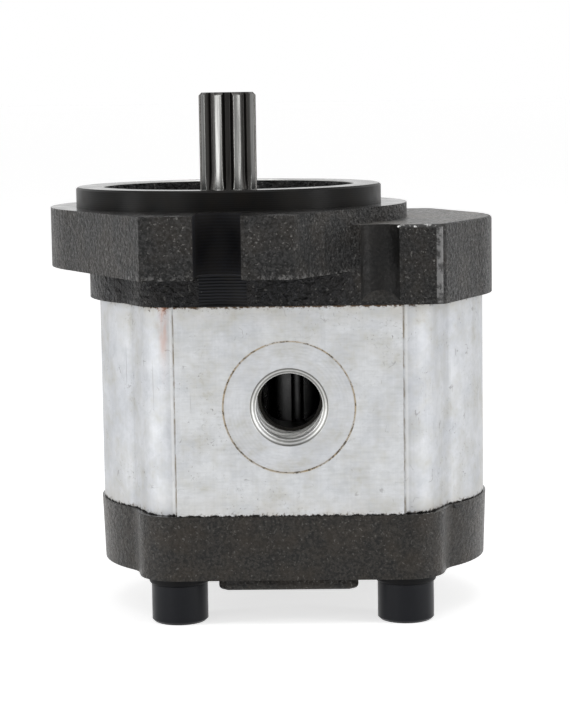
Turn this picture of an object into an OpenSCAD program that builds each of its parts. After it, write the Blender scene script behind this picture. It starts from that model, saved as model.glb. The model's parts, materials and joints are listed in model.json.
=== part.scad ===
// External gear pump with a two-bolt mounting flange and a splined drive shaft.
// The origin is the centre of the pilot at the mounting face.
// The drive shaft points along +Z, the driven gear lies beside it along +X,
// the outlet port faces -Y and the inlet port faces +Y.

/* [Mounting flange] */
// Diameter of the pilot that centres the pump in its mount
pilot_d = 82.55; // [78:0.05:86]
// Height of the pilot above the mounting face
pilot_h = 5.2; // [3:0.1:8]
// Wall of the pilot ring around the cast recess
pilot_wall = 7.3; // [5:0.1:9]
// Depth of the cast recess below the mounting face
recess_depth = 5; // [3:0.1:5.5]
// Diameter of the round part of the flange
flange_d = 96.4; // [92:0.2:100]
// Thickness of the flange and its ears
flange_t = 15.7; // [13:0.1:18]
// Distance between the centres of the two mounting slots
slot_spacing = 106.4; // [104:0.1:110]
// Width of each mounting slot
slot_w = 11.8; // [9:0.1:13]
// Distance between the outer ends of the two ears
ear_span = 130; // [126:0.5:134]
// Width of the flat outer end of each ear
ear_end_w = 38; // [32:0.5:44]
// Diameter of the spotface cut behind each slot
slot_spotface_d = 28.4; // [26:0.2:31]
// Depth of the spotface in the back of each ear
slot_spotface_depth = 0.3; // [0.1:0.1:1]

/* [Front cover] */
// Height of the front cover from the body to the mounting face
front_cover_t = 24.4; // [22:0.1:28]
// How far the front cover overhangs the body at both ends
front_overhang = 2.6; // [1:0.1:4]
// Drop of the driven side boss below the mounting face
boss_drop = 4; // [2:0.1:7]
// Reach of the flat boss face past the driven gear's axis
boss_reach = 23.4; // [20:0.2:25]
// Radius on the upright edges of the boss
boss_edge_r = 3.2; // [1:0.1:4]
// Radius of the scoops in the sides of the boss
scoop_r = 6; // [5:0.1:9]
// Depth of the scoops in the sides of the boss
scoop_depth = 2.6; // [1.5:0.1:3.5]
// Distance from the driven gear's axis to the middle of the scoops
scoop_offset = 7.2; // [6.5:0.1:9]

/* [Body] */
// Length of the body between the two covers
body_l = 54.4; // [50:0.2:62]
// Radius of the rounded ends of the body
body_end_r = 35.5; // [34.5:0.1:38]
// Distance between the two port faces
port_face_span = 81; // [79:0.5:86]
// Radius of the body around each cover screw
lobe_r = 8.8; // [8:0.1:9.5]
// Diameter of the clearance holes for the cover screws
screw_hole_d = 10; // [9.8:0.05:10.4]

/* [Rear cover] */
// Thickness of the rear cover
rear_cover_t = 17; // [14:0.1:22]
// How far the rear cover overhangs the body at both ends
rear_overhang = 0.6; // [0.2:0.1:2]
// Width of the raised pad on the rear cover
rear_pad_w = 36.4; // [30:0.2:40]
// Length of the raised pad on the rear cover
rear_pad_l = 74; // [60:0.5:77]
// Height of the raised pad on the rear cover
rear_pad_h = 3.3; // [1:0.1:5]
// Distance of the pad's middle from the drive gear's axis
rear_pad_x = 15.6; // [14:0.1:18]

/* [Ports] */
// Distance from the front end of the body to the axis of the ports
port_drop = 26.1; // [24:0.1:28]
// Minor diameter of the outlet port's thread
outlet_d = 17.3; // [14:0.1:18]
// Minor diameter of the inlet port's thread
inlet_d = 20.3; // [18:0.1:22]
// Depth of the threads in both ports
port_thread_l = 17; // [14:0.5:19]
// Diameter of the passages from the threads to the gears
port_passage_d = 15.6; // [12:0.1:16.5]
// Width of the sealing chamfer around the mouth of each port
port_mouth_w = 1.55; // [1:0.05:2]
// Diameter of the spotface around the outlet port
outlet_spotface_d = 34; // [30:0.2:38]
// Diameter of the spotface around the inlet port
inlet_spotface_d = 38; // [32:0.2:42]
// Depth of the spotfaces around the ports
port_spotface_depth = 0.3; // [0.1:0.1:0.8]

/* [Pumping gears] */
// Number of teeth on each gear
gear_teeth = 12; // [11:1:13]
// Module of the gears
gear_module = 2.75; // [2.7:0.01:2.8]
// Pressure angle of the gears
gear_angle = 25; // [24:0.5:26]
// Face width of the gears
gear_w = 17.4; // [14:0.1:22]
// Play between meshing teeth at the pitch circle
backlash = 0.14; // [0.08:0.01:0.3]

/* [Shafts] */
// Height of the drive shaft's end above the mounting face
shaft_out = 30; // [26:0.5:40]
// Diameter of the bearing journals and of the seal's track
journal_d = 18; // [17:0.1:19]
// Number of teeth on the drive spline
spline_teeth = 9; // [8:1:11]
// Outer diameter of the drive spline
spline_d = 15.46; // [15.2:0.02:15.8]
// Root diameter of the drive spline
spline_root_d = 12.2; // [11.8:0.1:12.8]
// Pitch diameter of the drive spline
spline_pitch_d = 14.29; // [14.1:0.01:14.4]
// Turn of the spline teeth against the gear teeth, in degrees
spline_turn = 13; // [-20:1:20]
// Length of the full spline from the end of the shaft
spline_l = 22.6; // [16:0.2:24]

/* [Bearings and seals] */
// Wall of the bearing bushes
bush_wall = 1; // [0.8:0.1:1.5]
// Outer diameter of the shaft seal
seal_d = 32; // [30:0.1:34]
// Width of the shaft seal
seal_w = 7; // [6.5:0.1:8]
// Sheet thickness of the shaft seal's case
seal_case_t = 0.9; // [0.7:0.1:1.1]
// Wire diameter of the seal's garter spring coil
garter_d = 1.2; // [1:0.1:1.3]
// Thickness of the retaining ring above the shaft seal
snap_ring_t = 1.2; // [1:0.1:1.5]
// Depth of the retaining ring's groove
snap_groove_depth = 0.85; // [0.6:0.05:1.1]
// Section diameter of the sealing rings at both ends of the body
body_seal_d = 1.8; // [1.5:0.1:2.2]
// Distance from the gear axes to the centre line of those rings
body_seal_r = 22.6; // [22.2:0.1:23.5]
// Width of the pressure seals on the bearing blocks
pressure_seal_w = 2; // [1.6:0.1:2.4]
// Thickness of the pressure seals
pressure_seal_t = 1.8; // [1.4:0.1:2.4]
// Thickness of the backup strips below the pressure seals
backup_t = 1; // [0.6:0.1:1.4]

/* [Fasteners] */
// Distance between the cover screws along X
bolt_dx = 59.5; // [58:0.1:61]
// Distance between the cover screws along Y
bolt_dy = 59.5; // [58:0.1:61]
// Diameter of the cover screws
screw_d = 9.525; // [9:0.025:9.7]
// Diameter of the screw heads
screw_head_d = 14.8; // [13.5:0.1:15.5]
// Height of the screw heads
screw_head_h = 10.2; // [8:0.1:11]
// Width across the flats of the screws' hexagon sockets
screw_hex = 7.94; // [7:0.1:8.5]
// Depth of the hexagon sockets
screw_hex_depth = 4.8; // [3:0.1:6]
// Length of thread held in the front cover
screw_grip = 14.8; // [11:0.1:15.5]
// Outer diameter of the washers
washer_d = 16; // [15.6:0.1:16.6]
// Thickness of the washers
washer_t = 2.2; // [1.5:0.1:3]
// Diameter of the dowel pins
dowel_d = 5; // [4:0.1:5.5]
// Length of the dowel pins
dowel_l = 12; // [8:0.5:13]
// Distance from the gear axes to the dowel pins
dowel_offset = 29.5; // [28.5:0.1:30.5]

/* [Clearances] */
// Radial gap between each journal and its bush
journal_gap = 0.03; // [0.02:0.01:0.06]
// Radial gap between the gear tips and the body
tip_gap = 0.05; // [0.03:0.01:0.08]
// Gap between the gears and the faces of the bearing blocks
side_gap = 0.03; // [0.02:0.01:0.06]
// Gap around pieces that are pressed or laid in place
fit_gap = 0.02; // [0.01:0.01:0.04]
// Gap between the lips of the shaft seal and the shaft
lip_gap = 0.04; // [0.02:0.01:0.08]
// Gap around the threads of the cover screws
thread_gap = 0.04; // [0.02:0.01:0.1]

/* [Hidden] */

$fn = 96;

// Cutters reach this far past the faces they cut
over = 1;
// Outlines that run into an arc end at this share of its radius
inset = 0.997;
// Angle on the body's round ends where the screw lobes begin
lobe_start = 46.5;

// Heights of the joints between the castings
body_top = -front_cover_t;
body_bottom = body_top - body_l;
rear_bottom = body_bottom - rear_cover_t;

// The two gear axes
gear_a = gear_module * gear_teeth;
mid_x = gear_a / 2;
pitch_r = gear_a / 2;
gear_tip_r = pitch_r + gear_module;
gear_root_r = pitch_r - 1.2 * gear_module;
chamber_r = gear_tip_r + tip_gap;
gear_mid = body_top - port_drop;
gear_top = gear_mid + gear_w / 2;
gear_bottom = gear_mid - gear_w / 2;

// Outline of the castings
port_face = port_face_span / 2;
cover_lobe_r = port_face - bolt_dy / 2;
front_end_r = body_end_r + front_overhang;
rear_end_r = body_end_r + rear_overhang;
recess_r = pilot_d / 2 - pilot_wall;

// Shaft seal and its retaining ring
journal_r = journal_d / 2;
bush_r = journal_r + journal_gap + bush_wall;
shaft_hole_r = journal_r + 0.6;
seal_r = seal_d / 2;
snap_top = -recess_depth - 1;
seal_top = snap_top - snap_ring_t - 2 * fit_gap;
seal_floor = seal_top - seal_w - fit_gap;

// Bearing blocks and their seals
block_r = chamber_r - fit_gap;
seal_groove_depth = pressure_seal_t + backup_t + 2 * fit_gap;
pressure_seal_r = bush_r + 3.6;

// Screws
head_top = rear_bottom - washer_t;
screw_tip = body_top + screw_grip;

// ---------------------------------------------------------------- helpers

// Point at radius r and angle a around the centre c
function polar(r, a, c = [0, 0]) = c + r * [cos(a), sin(a)];

// Involute function of an angle, in degrees
function involute(a) = tan(a) * 180 / PI - a;

// Angle that an involute from the base radius base_r has turned at radius r
function flank_turn(r, base_r) = r <= base_r ? 0 : involute(acos(base_r / r));

// One flank of a tooth that is centred on angle 0, from the root to the tip
function flank(teeth, ref_r, angle, tip_r, root_r, play, steps) =
    let (
        base_r = ref_r * cos(angle),
        start_r = max(base_r, root_r),
        half = 90 / teeth + involute(angle) - play / ref_r * 45 / PI
    )
    concat(
        start_r > root_r ? [polar(root_r, half)] : [],
        [for (i = [0 : steps])
            let (r = start_r + (tip_r - start_r) * i / steps)
            polar(r, half - flank_turn(r, base_r))]
    );

// Outline of a whole gear or spline, tooth by tooth
function toothed_outline(teeth, ref_r, angle, tip_r, root_r, play, steps) =
    let (up = flank(teeth, ref_r, angle, tip_r, root_r, play, steps))
    [for (k = [0 : teeth - 1])
        let (a = 360 * k / teeth, last = len(up) - 1)
        for (i = [0 : 2 * last + 1])
            let (p = i <= last ? [up[i].x, -up[i].y] : up[2 * last + 1 - i])
            [p.x * cos(a) - p.y * sin(a), p.x * sin(a) + p.y * cos(a)]];

// Outer tangent from point p to a circle of radius r around c, turned by side
function tangent_point(p, c, r, side) =
    let (v = p - c)
    polar(r * inset, atan2(v.y, v.x) + side * acos(r / norm(v)), c);

// Copies of the children at the four cover screws
module at_screws() {
    for (sx = [-1, 1], sy = [-1, 1])
        translate([mid_x + sx * bolt_dx / 2, sy * bolt_dy / 2, 0]) children();
}

// Copies of the children at the two gear axes
module at_axes() {
    for (x = [0, gear_a]) translate([x, 0, 0]) children();
}

// Copies of the children at the two dowel pins of one joint
module at_dowels() {
    for (x = [-dowel_offset, gear_a + dowel_offset]) translate([x, 0, 0]) children();
}

// A straight hole or peg along Z between two heights
module rod(r, z0, z1) {
    translate([0, 0, min(z0, z1)]) cylinder(r = r, h = abs(z1 - z0));
}

// Ring between two radii and two heights
module ring(r_in, r_out, z0, z1) {
    difference() {
        rod(r_out, z0, z1);
        rod(r_in, min(z0, z1) - over, max(z0, z1) + over);
    }
}

// Outline shared by the body and the covers: two round ends, four screw lobes
// and a flat pad on each port side
module pump_outline(end_r, corner_r, pad_y, pad_half) {
    screw = [bolt_dx / 2, bolt_dy / 2];
    end = [gear_a / 2, 0];
    start = polar(end_r, lobe_start, end);
    touch = tangent_point(start, screw, corner_r, 1);
    run_in = start + (start - touch) / norm(start - touch);
    core = polar(end_r / 2, lobe_start, end);
    wedge = [run_in, touch, screw, core];
    mirrored = [core, screw, touch, run_in];
    for (x = [0, gear_a]) translate([x, 0]) circle(r = end_r);
    translate([mid_x - pad_half, -pad_y]) square([2 * pad_half, 2 * pad_y]);
    for (sx = [-1, 1], sy = [-1, 1]) {
        translate([mid_x + sx * screw.x, sy * screw.y]) circle(r = corner_r);
        translate([mid_x, 0])
            polygon([for (p = sx * sy > 0 ? wedge : mirrored) [sx * p.x, sy * p.y]]);
    }
}

// Slot-shaped solid around both gear axes
module stadium(r, z0, z1) {
    h = z1 - z0;
    translate([0, 0, z0]) {
        rotate([0, 0, 90]) rotate_extrude(angle = 180) square([r, h]);
        translate([gear_a, 0, 0]) rotate([0, 0, -90]) rotate_extrude(angle = 180) square([r, h]);
        translate([0, -r, 0]) cube([gear_a, 2 * r, h]);
    }
}

// ---------------------------------------------------------------- castings

// Round flange with two slotted ears
module flange_outline() {
    ear_corner = [ear_end_w / 2, ear_span / 2];
    disc_touch = tangent_point(ear_corner, [0, 0], flange_d / 2, -1);
    difference() {
        union() {
            circle(d = flange_d);
            for (s = [-1, 1])
                polygon([
                    [ear_corner.x, s * ear_corner.y], [disc_touch.x, s * disc_touch.y],
                    [-disc_touch.x, s * disc_touch.y], [-ear_corner.x, s * ear_corner.y]
                ]);
        }
        for (s = [-1, 1]) {
            translate([0, s * slot_spacing / 2]) circle(d = slot_w);
            translate([-slot_w / 2, s > 0 ? slot_spacing / 2 : -ear_span / 2 - over])
                square([slot_w, (ear_span - slot_spacing) / 2 + over]);
        }
    }
}

// Boss over the driven gear: flat on both port sides, slanted and then round at its end
module boss_outline() {
    driven = [gear_a, 0];
    corner = [gear_a + boss_reach, port_face];
    touch = tangent_point(corner, driven, front_end_r, -1);
    slope = atan2(touch.y - corner.y, touch.x - corner.x);
    trim = boss_edge_r / tan((180 + slope) / 2);
    on_flat = corner - [trim, 0];
    on_slope = polar(trim, slope, corner);
    translate(driven) circle(r = front_end_r);
    for (s = [-1, 1]) {
        translate([on_flat.x, s * (corner.y - boss_edge_r * inset)]) circle(r = boss_edge_r);
        polygon([
            [mid_x, 0], [mid_x, s * corner.y], [on_flat.x, s * corner.y],
            [on_slope.x, s * on_slope.y], [touch.x, s * touch.y], driven
        ]);
    }
}

// Scoops that lighten both sides of the boss, with a sloped foot
module boss_scoops() {
    scoop = [gear_a + scoop_offset, port_face + scoop_r - scoop_depth];
    foot = body_top + 1;
    for (s = [-1, 1])
        difference() {
            translate([scoop.x, s * scoop.y, 0]) rod(scoop_r, foot, over);
            translate([scoop.x, s * port_face, foot])
                rotate([-s * 45, 0, 0])
                translate([-2 * scoop_r, -4 * scoop_r, -8 * scoop_r])
                cube([4 * scoop_r, 8 * scoop_r, 8 * scoop_r]);
        }
}

// Everything of the front cover that is cast
module front_casting() {
    translate([0, 0, -flange_t]) linear_extrude(flange_t) flange_outline();
    difference() {
        union() {
            translate([0, 0, body_top])
                linear_extrude(front_cover_t - flange_t + over)
                pump_outline(front_end_r, cover_lobe_r, port_face * inset, bolt_dx / 2);
            translate([0, 0, body_top]) linear_extrude(front_cover_t - boss_drop) boss_outline();
        }
        boss_scoops();
        for (s = [-1, 1])
            translate([0, s * slot_spacing / 2, 0])
                rod(slot_spotface_d / 2, body_top - over, slot_spotface_depth - flange_t);
    }
}

// Front cover: flange, pilot, driven side boss and the housing of the shaft seal
module front_cover() {
    pilot_edge = 0.5;
    color([0.16, 0.16, 0.17])
    difference() {
        union() {
            front_casting();
            rod(pilot_d / 2, -over, pilot_h - pilot_edge);
            translate([0, 0, pilot_h - pilot_edge])
                cylinder(r1 = pilot_d / 2, r2 = pilot_d / 2 - pilot_edge, h = pilot_edge);
        }
        rod(recess_r, -recess_depth, pilot_h + over);
        rod(seal_r + fit_gap, seal_floor, over);
        rod(seal_r + snap_groove_depth, snap_top - snap_ring_t - fit_gap, snap_top + fit_gap);
        rod(shaft_hole_r, body_top - over, 0);
        for (s = [-1, 1])
            translate([0, s * slot_spacing / 2, 0])
                intersection() {
                    rod(slot_spotface_d / 2, -flange_t - over, slot_spotface_depth - flange_t);
                    translate([0, s * ear_span / 2, 0])
                        cube([ear_span, ear_span - 2 * port_face, 4 * flange_t], center = true);
                }
        at_screws() rod(screw_d / 2 + thread_gap, body_top - over, screw_tip + 1);
        at_dowels() rod(dowel_d / 2 + fit_gap, body_top - over, body_top + dowel_l / 2 + 0.5);
    }
}

// Port: spotface, sealing chamfer, threaded bore and passage, along +Z from the chamber
module port_cut(thread_d, spotface_d) {
    floor = port_face - port_spotface_depth;
    thread_r = thread_d / 2;
    rod(spotface_d / 2, floor, port_face + over);
    translate([0, 0, floor - port_mouth_w])
        cylinder(r1 = thread_r, r2 = thread_r + port_mouth_w, h = port_mouth_w);
    rod(thread_r, floor - port_thread_l, floor);
    rod(port_passage_d / 2, chamber_r / 4, floor);
}

// Groove for the sealing ring at one end of the body
module body_seal_groove(z0, z1) {
    half = body_seal_d / 2 + 0.3;
    difference() {
        stadium(body_seal_r + half, z0, z1);
        stadium(body_seal_r - half, z0 - over, z1 + over);
    }
}

// Pump body: extruded housing with the gear chamber and both ports
module pump_body() {
    groove = body_seal_d + fit_gap;
    color([0.8, 0.81, 0.82])
    difference() {
        translate([0, 0, body_bottom]) linear_extrude(body_l)
            pump_outline(body_end_r, lobe_r, port_face, bolt_dx / 2 - 0.5);
        at_axes() rod(chamber_r, body_bottom - over, body_top + over);
        at_screws() rod(screw_hole_d / 2, body_bottom - over, body_top + over);
        at_dowels() rod(dowel_d / 2 + fit_gap, body_top - dowel_l / 2 - 0.5, body_top + over);
        at_dowels() rod(dowel_d / 2 + fit_gap, body_bottom - over, body_bottom + dowel_l / 2 + 0.5);
        body_seal_groove(body_top - groove, body_top + over);
        body_seal_groove(body_bottom - over, body_bottom + groove);
        translate([mid_x, 0, gear_mid]) rotate([90, 0, 0]) port_cut(outlet_d, outlet_spotface_d);
        translate([mid_x, 0, gear_mid]) rotate([-90, 0, 0]) port_cut(inlet_d, inlet_spotface_d);
    }
}

// Outline of the raised pad: a rectangle with its corners cut off
module rear_pad_outline() {
    cut = 2;
    wide = rear_pad_w / 2;
    long = rear_pad_l / 2;
    polygon([
        [cut - wide, -long], [wide - cut, -long], [wide, cut - long], [wide, long - cut],
        [wide - cut, long], [cut - wide, long], [-wide, long - cut], [-wide, cut - long]
    ]);
}

// Rear cover: closed casting with a raised pad
module rear_cover() {
    color([0.19, 0.19, 0.19])
    difference() {
        union() {
            translate([0, 0, rear_bottom]) linear_extrude(rear_cover_t)
                pump_outline(rear_end_r, cover_lobe_r, port_face * inset, bolt_dx / 2);
            translate([rear_pad_x, 0, rear_bottom - rear_pad_h])
                linear_extrude(rear_pad_h + over)
                rear_pad_outline();
        }
        at_screws() rod(screw_hole_d / 2, rear_bottom - over, body_bottom + over);
        at_dowels() rod(dowel_d / 2 + fit_gap, body_bottom - dowel_l / 2 - 0.5, body_bottom + over);
    }
}

// ---------------------------------------------------------------- rotors

// One pumping gear between the bearing blocks
module gear_rim() {
    translate([0, 0, gear_bottom]) linear_extrude(gear_w)
        polygon(toothed_outline(gear_teeth, pitch_r, gear_angle, gear_tip_r, gear_root_r,
            backlash / 2, 7));
}

// Plain round shaft through a gear, with chamfered ends
module journals(z0, z1) {
    edge = 0.8;
    rod(journal_r, z0 + edge, z1 - edge);
    translate([0, 0, z0]) cylinder(r1 = journal_r - edge, r2 = journal_r, h = edge);
    translate([0, 0, z1 - edge]) cylinder(r1 = journal_r, r2 = journal_r - edge, h = edge);
}

// Outline of the space between two spline teeth, centred on +X
function spline_space() =
    let (
        tip_r = spline_d / 2,
        side = flank(spline_teeth, spline_pitch_d / 2, 30, tip_r, spline_root_d / 2, 0.1, 4),
        mouth = side[len(side) - 1] * (tip_r + over) / tip_r,
        half_pitch = 180 / spline_teeth,
        low = [for (p = concat(side, [mouth]))
            polar(norm(p), atan2(p.y, p.x) - half_pitch)],
        last = len(low) - 1
    )
    concat(low, [for (i = [0 : last]) [low[last - i].x, -low[last - i].y]]);

// Splined end of the drive shaft: a round bar with milled spaces that run out at the neck
module spline_end() {
    full = shaft_out - spline_l;
    edge = 0.8;
    tip_r = spline_d / 2;
    floor_r = spline_root_d / 2 - 0.1;
    run_out = (tip_r - floor_r) / tan(20);
    floor_step = 0.1;
    difference() {
        union() {
            rod(tip_r, 0, shaft_out - edge);
            translate([0, 0, shaft_out - edge])
                cylinder(r1 = tip_r, r2 = tip_r - edge, h = edge);
        }
        for (k = [0 : spline_teeth - 1])
            rotate([0, 0, (k + 0.5) * 360 / spline_teeth + spline_turn])
                translate([0, 0, full - run_out])
                linear_extrude(spline_l + run_out + over)
                polygon(spline_space());
    }
    translate([0, 0, full - run_out - floor_step])
        cylinder(r1 = inset * tip_r, r2 = floor_r, h = run_out + floor_step);
}

// Drive gear, its journals and the splined shaft end, forged in one piece
module drive_gear_shaft() {
    color([0.55, 0.55, 0.54])
    union() {
        gear_rim();
        journals(body_bottom + 1, 1.8);
        spline_end();
    }
}

// Driven gear and its journals in one piece, turned by half a tooth to mesh
module idler_gear_shaft() {
    color([0.58, 0.58, 0.57])
    translate([gear_a, 0, 0]) {
        rotate([0, 0, 180 + (gear_teeth % 2 == 0 ? 180 / gear_teeth : 0)]) gear_rim();
        journals(body_bottom + 1, body_top - 1);
    }
}

// ---------------------------------------------------------------- bearings

// Ring around each shaft with a bridge between them, from height z0 to z1
module pressure_ring(width, z0, z1) {
    r_in = pressure_seal_r - width / 2;
    r_out = pressure_seal_r + width / 2;
    at_axes() ring(r_in, r_out, z0, z1);
    translate([pressure_seal_r, -width / 2, min(z0, z1)])
        cube([gear_a - 2 * pressure_seal_r, width, abs(z1 - z0)]);
}

// Bearing block: outer_z is its face at the cover, inner_z its face at the gears
module bearing_block(outer_z, inner_z) {
    s = sign(inner_z - outer_z);
    relief_w = gear_a / 5;
    relief_h = 1.5;
    difference() {
        at_axes() rod(block_r, outer_z, inner_z);
        at_axes() rod(bush_r, min(outer_z, inner_z) - over, max(outer_z, inner_z) + over);
        pressure_ring(pressure_seal_w + 2 * fit_gap, outer_z - s * over, outer_z + s * seal_groove_depth);
        for (side = [-1, 1])
            translate([mid_x, side * (gear_module + relief_w / 2), inner_z])
                cube([relief_w, relief_w, 2 * relief_h], center = true);
    }
}

// Plain bush inside a bearing block
module bush(outer_z, inner_z) {
    s = sign(inner_z - outer_z);
    ring(journal_r + journal_gap, bush_r - fit_gap / 2, outer_z + s * 0.6, inner_z - s * 0.4);
}

// Faces of the two bearing blocks
front_outer = body_top - fit_gap;
front_inner = gear_top + side_gap;
rear_outer = body_bottom + fit_gap;
rear_inner = gear_bottom - side_gap;

// Bearing block at the shaft end of the pump
module front_bearing_block() {
    color([0.74, 0.74, 0.72]) bearing_block(front_outer, front_inner);
}

// Bearing block at the closed end of the pump
module rear_bearing_block() {
    color([0.74, 0.74, 0.72]) bearing_block(rear_outer, rear_inner);
}

// The four bushes
module front_drive_bush() {
    color([0.6, 0.5, 0.35]) bush(front_outer, front_inner);
}

module front_idler_bush() {
    color([0.6, 0.5, 0.35]) translate([gear_a, 0, 0]) bush(front_outer, front_inner);
}

module rear_drive_bush() {
    color([0.6, 0.5, 0.35]) bush(rear_outer, rear_inner);
}

module rear_idler_bush() {
    color([0.6, 0.5, 0.35]) translate([gear_a, 0, 0]) bush(rear_outer, rear_inner);
}

// ---------------------------------------------------------------- seals

// Sheet steel case of the shaft seal
module shaft_seal_case() {
    t = seal_case_t;
    bottom = seal_top - seal_w;
    color([0.35, 0.35, 0.36])
    rotate_extrude()
        polygon([
            [seal_r, seal_top], [seal_r, bottom], [seal_r - t, bottom],
            [seal_r - t, seal_top - t], [seal_r - 4 * t, seal_top - t], [seal_r - 4 * t, seal_top]
        ]);
}

// Rubber of the shaft seal: sealing lip with the spring's groove, and dust lip
module shaft_seal_lip() {
    t = seal_case_t;
    top = seal_top - t;
    tip = journal_r + lip_gap;
    back = tip + 2;
    low = seal_top - seal_w + 0.8;
    spring = low + garter_d;
    color([0.1, 0.1, 0.1])
    rotate_extrude()
        polygon([
            [seal_r - t - fit_gap, top - fit_gap], [seal_r - t - fit_gap, top - 1],
            [back + 0.9, top - 1], [back + 0.5, spring + garter_d],
            [back + 0.5, spring + 0.6 * garter_d], [back, spring + 0.6 * garter_d],
            [back, spring - 0.6 * garter_d], [back + 0.5, spring - 0.6 * garter_d],
            [back + 0.5, low], [tip + 1.2, low],
            [tip, low + 1.3], [tip + 0.9, low + 3],
            [tip + 0.9, top - 0.9], [tip, top - 0.2], [tip + 0.3, top + 0.5],
            [seal_r - 4 * t - fit_gap, top + 0.5], [seal_r - 4 * t - fit_gap, top - fit_gap]
        ]);
}

// Closed coil of the garter spring, drawn as its outer ring
module seal_garter_spring() {
    low = seal_top - seal_w + 0.8;
    color([0.7, 0.7, 0.7])
    translate([0, 0, low + garter_d])
        rotate_extrude()
        translate([journal_r + lip_gap + 2 + garter_d / 2 + fit_gap, 0])
        circle(d = garter_d, $fn = 24);
}

// Internal retaining ring with its two plier lugs
module seal_snap_ring() {
    out_r = seal_r + snap_groove_depth - fit_gap;
    in_r = seal_r - 2.3;
    half_gap = 17;
    lug_r = 2.1;
    lug_place = in_r - 0.4;
    lug_angle = half_gap + 4;
    color([0.22, 0.22, 0.24])
    translate([0, 0, snap_top - snap_ring_t])
    linear_extrude(snap_ring_t)
    difference() {
        union() {
            difference() {
                circle(r = out_r);
                circle(r = in_r);
                polygon([[0, 0], polar(2 * out_r, half_gap), polar(2 * out_r, -half_gap)]);
            }
            for (s = [-1, 1]) translate(polar(lug_place, s * lug_angle)) circle(r = lug_r);
        }
        for (s = [-1, 1]) translate(polar(lug_place, s * lug_angle)) circle(r = 1);
    }
}

// Sealing ring between the body and a cover, laid in its groove
module body_seal(z) {
    r = body_seal_d / 2;
    translate([0, 0, z]) {
        rotate([0, 0, 90]) rotate_extrude(angle = 180)
            translate([body_seal_r, 0]) circle(r = r, $fn = 24);
        translate([gear_a, 0, 0]) rotate([0, 0, -90]) rotate_extrude(angle = 180)
            translate([body_seal_r, 0]) circle(r = r, $fn = 24);
        for (s = [-1, 1])
            translate([0, s * body_seal_r, 0]) rotate([0, 90, 0])
                cylinder(r = r, h = gear_a, $fn = 24);
    }
}

module front_body_seal() {
    color([0.08, 0.08, 0.08]) body_seal(body_top - body_seal_d / 2 - fit_gap / 2);
}

module rear_body_seal() {
    color([0.08, 0.08, 0.08]) body_seal(body_bottom + body_seal_d / 2 + fit_gap / 2);
}

// Pressure seals in the outer faces of the bearing blocks, on their backup strips
module front_pressure_seal() {
    color([0.08, 0.08, 0.08])
        pressure_ring(pressure_seal_w, front_outer, front_outer - pressure_seal_t);
}

module rear_pressure_seal() {
    color([0.08, 0.08, 0.08])
        pressure_ring(pressure_seal_w, rear_outer, rear_outer + pressure_seal_t);
}

module front_backup_strip() {
    seat = front_outer - pressure_seal_t - fit_gap;
    color([0.85, 0.84, 0.8]) pressure_ring(pressure_seal_w, seat, seat - backup_t);
}

module rear_backup_strip() {
    seat = rear_outer + pressure_seal_t + fit_gap;
    color([0.85, 0.84, 0.8]) pressure_ring(pressure_seal_w, seat, seat + backup_t);
}

// ---------------------------------------------------------------- fasteners

// Dowel pins across the joint at height z
module dowel_pins(z) {
    edge = 0.5;
    at_dowels() translate([0, 0, z - dowel_l / 2]) {
        translate([0, 0, edge]) cylinder(d = dowel_d, h = dowel_l - 2 * edge);
        cylinder(d1 = dowel_d - 2 * edge, d2 = dowel_d, h = edge);
        translate([0, 0, dowel_l - edge])
            cylinder(d1 = dowel_d, d2 = dowel_d - 2 * edge, h = edge);
    }
}

module front_dowel_pins() {
    color([0.62, 0.62, 0.62]) dowel_pins(body_top);
}

module rear_dowel_pins() {
    color([0.62, 0.62, 0.62]) dowel_pins(body_bottom);
}

// Socket head screw with its head below the rear cover, pointing up
module cover_screw() {
    edge = 0.7;
    head_bottom = head_top - screw_head_h;
    difference() {
        union() {
            rod(screw_head_d / 2, head_bottom + edge, head_top);
            translate([0, 0, head_bottom])
                cylinder(r1 = screw_head_d / 2 - edge, r2 = screw_head_d / 2, h = edge);
            rod(screw_d / 2, head_top - over, screw_tip - 1);
            translate([0, 0, screw_tip - 1])
                cylinder(r1 = screw_d / 2, r2 = screw_d / 2 - 1, h = 1);
        }
        translate([0, 0, head_bottom - over])
            cylinder(d = screw_hex / cos(30), h = screw_hex_depth + over, $fn = 6);
    }
}

// Four socket head screws that hold the covers to the body
module cover_screws() {
    color([0.09, 0.09, 0.1]) at_screws() cover_screw();
}

// Washers below the screw heads, rounded off towards the head
module screw_washers() {
    edge = 0.5;
    hole_r = screw_d / 2 + 0.2;
    color([0.1, 0.1, 0.11])
    at_screws()
        translate([0, 0, head_top])
        rotate_extrude()
        polygon([
            [hole_r, 0], [washer_d / 2 - edge, 0], [washer_d / 2, edge],
            [washer_d / 2, washer_t], [hole_r, washer_t]
        ]);
}

front_cover();
pump_body();
rear_cover();
drive_gear_shaft();
idler_gear_shaft();
front_bearing_block();
rear_bearing_block();
front_drive_bush();
front_idler_bush();
rear_drive_bush();
rear_idler_bush();
shaft_seal_case();
shaft_seal_lip();
seal_garter_spring();
seal_snap_ring();
front_body_seal();
rear_body_seal();
front_pressure_seal();
rear_pressure_seal();
front_backup_strip();
rear_backup_strip();
front_dowel_pins();
rear_dowel_pins();
cover_screws();
screw_washers();
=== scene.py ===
"""Looks of an external gear pump: two iron castings, an extruded body, a splined shaft and its screws."""
import json
import math

import bmesh
import bpy
from mathutils import Matrix, Vector


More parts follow.
